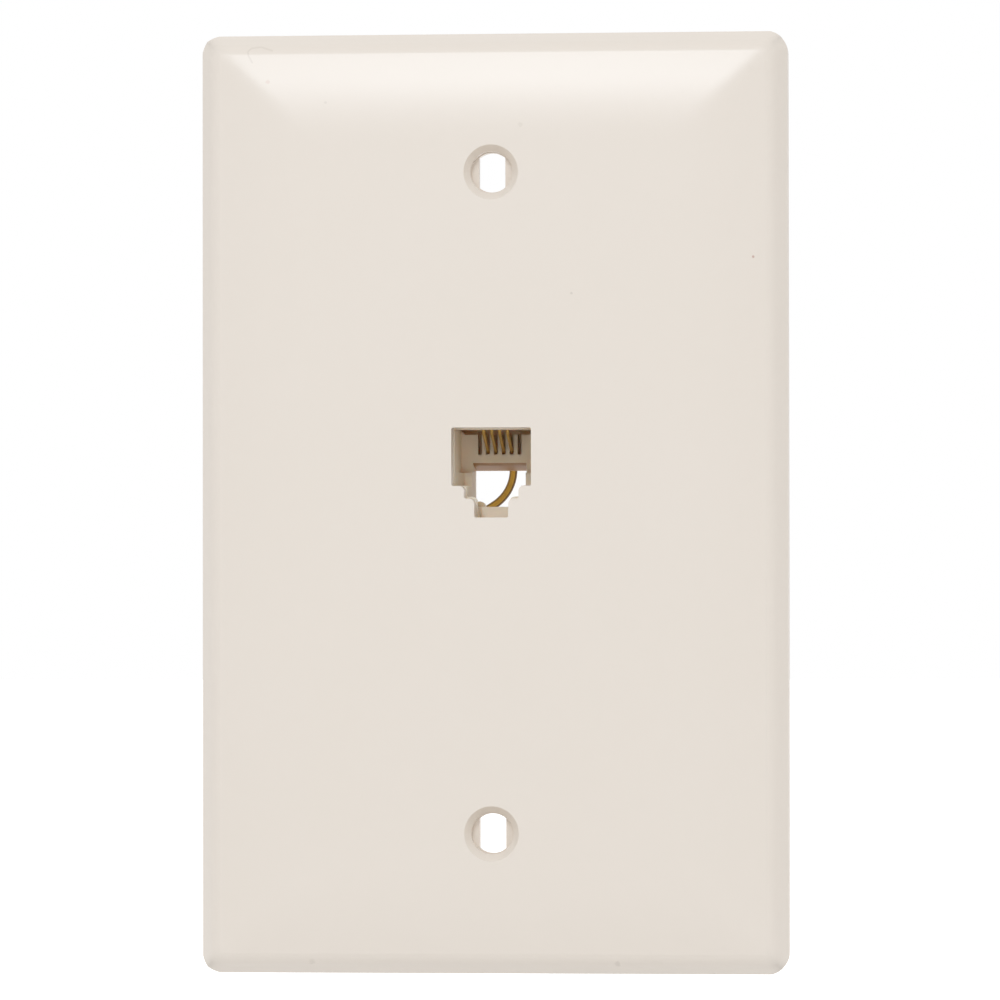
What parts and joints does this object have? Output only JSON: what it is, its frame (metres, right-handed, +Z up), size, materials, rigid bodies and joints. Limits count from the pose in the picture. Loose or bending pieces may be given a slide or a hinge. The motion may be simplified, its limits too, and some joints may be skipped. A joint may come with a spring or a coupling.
{
  "type": "telephone wall socket",
  "caption": "Flush telephone wall socket: an ivory crowned plate with a keyed modular jack, box screw holes and screw terminals behind.",
  "frame": {"origin": "middle of the plate's rim on the wall, halfway between the two box screws", "axes": "+X to the right seen from the room, +Y into the wall, +Z up"},
  "size_m": [0.0746, 0.022, 0.119],
  "materials": {
    "plate_plastic": "satin moulded",
    "jack_plastic": "satin moulded",
    "carrier_plastic": "moulded",
    "contact_gilt": "gold plated",
    "sleeve_brass": "drawn",
    "insulation_black": "smooth",
    "insulation_red": "smooth",
    "insulation_green": "smooth",
    "insulation_yellow": "smooth",
    "lug_tin": "tin plated",
    "terminal_brass": "bright"
  },
  "bodies": {
    "root": {"wall_plate": "plate_plastic", "jack_housing": "jack_plastic", "contact_carrier": "carrier_plastic", "contact_black": "contact_gilt", "crimp_black": "sleeve_brass", "lead_black": "insulation_black", "lug_black": "lug_tin", "terminal_washer_black": "terminal_brass", "terminal_screw_black": "terminal_brass", "contact_red": "contact_gilt", "crimp_red": "sleeve_brass", "lead_red": "insulation_red", "lug_red": "lug_tin", "terminal_washer_red": "terminal_brass", "terminal_screw_red": "terminal_brass", "contact_green": "contact_gilt", "crimp_green": "sleeve_brass", "lead_green": "insulation_green", "lug_green": "lug_tin", "terminal_washer_green": "terminal_brass", "terminal_screw_green": "terminal_brass", "contact_yellow": "contact_gilt", "crimp_yellow": "sleeve_brass", "lead_yellow": "insulation_yellow", "lug_yellow": "lug_tin", "terminal_washer_yellow": "terminal_brass", "terminal_screw_yellow": "terminal_brass"}
  },
  "joints": []
}
